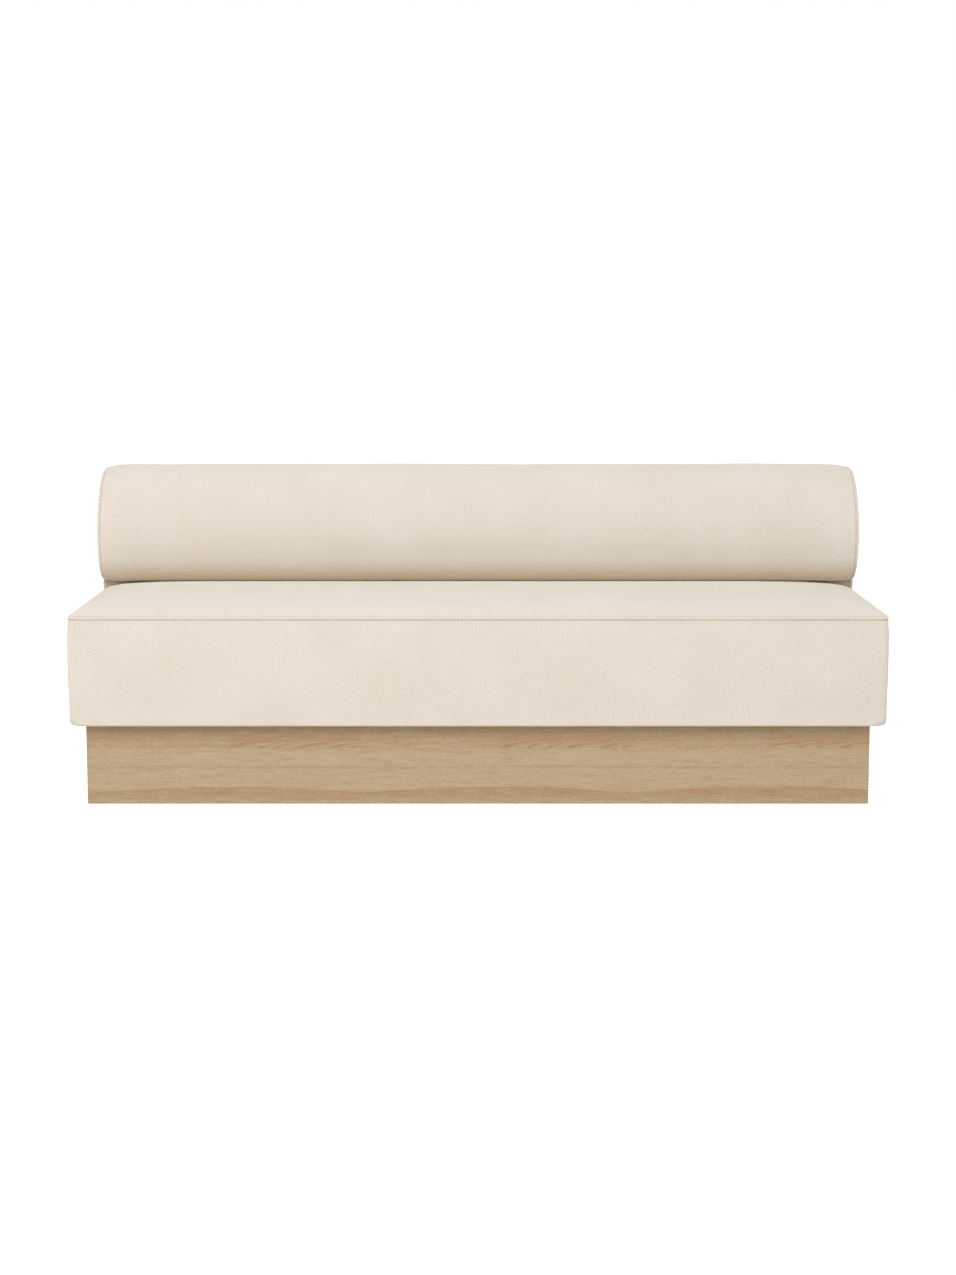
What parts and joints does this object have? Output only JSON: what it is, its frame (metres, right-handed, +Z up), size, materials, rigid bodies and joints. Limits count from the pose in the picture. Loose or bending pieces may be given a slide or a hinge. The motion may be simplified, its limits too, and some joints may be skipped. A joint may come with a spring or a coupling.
{
  "type": "dining sofa",
  "caption": "Armless upholstered dining sofa: a crowned bench seat and a round bolster back on an inset timber plinth with hidden levelling feet.",
  "frame": {"origin": "on the floor, in the middle of the sofa's width and depth", "axes": "+X to the right of somebody facing the sofa's front and along its length, -Y out of its front, +Z up"},
  "size_m": [2.018, 0.75, 0.81],
  "materials": {
    "upholstery": "matte",
    "oak": "satin",
    "plinth_timber": "matte",
    "frame_timber": "matte",
    "foam": "matte",
    "felt": "matte",
    "webbing": "matte",
    "dust_cover_cloth": "matte",
    "zinc_steel": "satin",
    "glide_plastic": "matte"
  },
  "bodies": {
    "root": {"back_bent_board": "frame_timber", "back_bolts": "zinc_steel", "back_dust_cover": "dust_cover_cloth", "back_foot_rail": "frame_timber", "back_front_board": "frame_timber", "back_inner_ribs": "frame_timber", "back_left_end_cover": "upholstery", "back_left_end_foam": "foam", "back_left_end_rib": "frame_timber", "back_neck_foam": "foam", "back_rear_wadding": "felt", "back_right_end_cover": "upholstery", "back_right_end_foam": "foam", "back_right_end_rib": "frame_timber", "back_roll_foam": "foam", "back_wrap_cover": "upholstery", "bolt_washers": "zinc_steel", "leveller_inserts": "zinc_steel", "plinth_back_board": "oak", "plinth_blocks": "plinth_timber", "plinth_cleats": "plinth_timber", "plinth_front_board": "oak", "plinth_left_end_board": "oak", "plinth_rib_1": "plinth_timber", "plinth_rib_2": "plinth_timber", "plinth_rib_3": "plinth_timber", "plinth_right_end_board": "oak", "seat_bolts": "zinc_steel", "seat_border_cover": "upholstery", "seat_core_foam": "foam", "seat_cross_rails": "frame_timber", "seat_crown_foam": "foam", "seat_dust_cover": "dust_cover_cloth", "seat_end_foams": "foam", "seat_felt": "felt", "seat_fixing_blocks": "frame_timber", "seat_frame_screws": "zinc_steel", "seat_front_foam": "foam", "seat_front_rail": "frame_timber", "seat_left_end_rail": "frame_timber", "seat_rear_rail": "frame_timber", "seat_rear_wadding": "felt", "seat_right_end_rail": "frame_timber", "seat_top_cover": "upholstery", "seat_webbing": "webbing", "tee_nuts": "zinc_steel"},
    "foot_pad_1": {"leveller_pad_1": "glide_plastic"},
    "foot_stem_1": {"leveller_stem_1": "zinc_steel"},
    "foot_pad_2": {"leveller_pad_2": "glide_plastic"},
    "foot_stem_2": {"leveller_stem_2": "zinc_steel"},
    "foot_pad_3": {"leveller_pad_3": "glide_plastic"},
    "foot_stem_3": {"leveller_stem_3": "zinc_steel"},
    "foot_pad_4": {"leveller_pad_4": "glide_plastic"},
    "foot_stem_4": {"leveller_stem_4": "zinc_steel"},
    "foot_pad_5": {"leveller_pad_5": "glide_plastic"},
    "foot_stem_5": {"leveller_stem_5": "zinc_steel"},
    "foot_pad_6": {"leveller_pad_6": "glide_plastic"},
    "foot_stem_6": {"leveller_stem_6": "zinc_steel"}
  },
  "joints": [
    {"name": "foot_slide_1", "type": "slide", "parent": "root", "child": "foot_pad_1", "axis": [0, 0, -1], "range_m": [0, 0.012]},
    {"name": "foot_turn_1", "type": "hinge", "parent": "foot_pad_1", "child": "foot_stem_1", "pos_m": [-0.9185, -0.2915, 0.01], "axis": [0, 0, -1], "range_deg": [0, 3456]},
    {"name": "foot_slide_2", "type": "slide", "parent": "root", "child": "foot_pad_2", "axis": [0, 0, -1], "range_m": [0, 0.012]},
    {"name": "foot_turn_2", "type": "hinge", "parent": "foot_pad_2", "child": "foot_stem_2", "pos_m": [0.0395, -0.2915, 0.01], "axis": [0, 0, -1], "range_deg": [0, 3456]},
    {"name": "foot_slide_3", "type": "slide", "parent": "root", "child": "foot_pad_3", "axis": [0, 0, -1], "range_m": [0, 0.012]},
    {"name": "foot_turn_3", "type": "hinge", "parent": "foot_pad_3", "child": "foot_stem_3", "pos_m": [0.9185, -0.2915, 0.01], "axis": [0, 0, -1], "range_deg": [0, 3456]},
    {"name": "foot_slide_4", "type": "slide", "parent": "root", "child": "foot_pad_4", "axis": [0, 0, -1], "range_m": [0, 0.012]},
    {"name": "foot_turn_4", "type": "hinge", "parent": "foot_pad_4", "child": "foot_stem_4", "pos_m": [-0.9185, 0.2915, 0.01], "axis": [0, 0, -1], "range_deg": [0, 3456]},
    {"name": "foot_slide_5", "type": "slide", "parent": "root", "child": "foot_pad_5", "axis": [0, 0, -1], "range_m": [0, 0.012]},
    {"name": "foot_turn_5", "type": "hinge", "parent": "foot_pad_5", "child": "foot_stem_5", "pos_m": [0.0395, 0.2915, 0.01], "axis": [0, 0, -1], "range_deg": [0, 3456]},
    {"name": "foot_slide_6", "type": "slide", "parent": "root", "child": "foot_pad_6", "axis": [0, 0, -1], "range_m": [0, 0.012]},
    {"name": "foot_turn_6", "type": "hinge", "parent": "foot_pad_6", "child": "foot_stem_6", "pos_m": [0.9185, 0.2915, 0.01], "axis": [0, 0, -1], "range_deg": [0, 3456]}
  ],
  "couplings": [
    {"joint": "foot_turn_1", "follows": "foot_slide_1", "rad_per_m": 5026.5},
    {"joint": "foot_turn_2", "follows": "foot_slide_2", "rad_per_m": 5026.5},
    {"joint": "foot_turn_3", "follows": "foot_slide_3", "rad_per_m": 5026.5},
    {"joint": "foot_turn_4", "follows": "foot_slide_4", "rad_per_m": 5026.5},
    {"joint": "foot_turn_5", "follows": "foot_slide_5", "rad_per_m": 5026.5},
    {"joint": "foot_turn_6", "follows": "foot_slide_6", "rad_per_m": 5026.5}
  ]
}
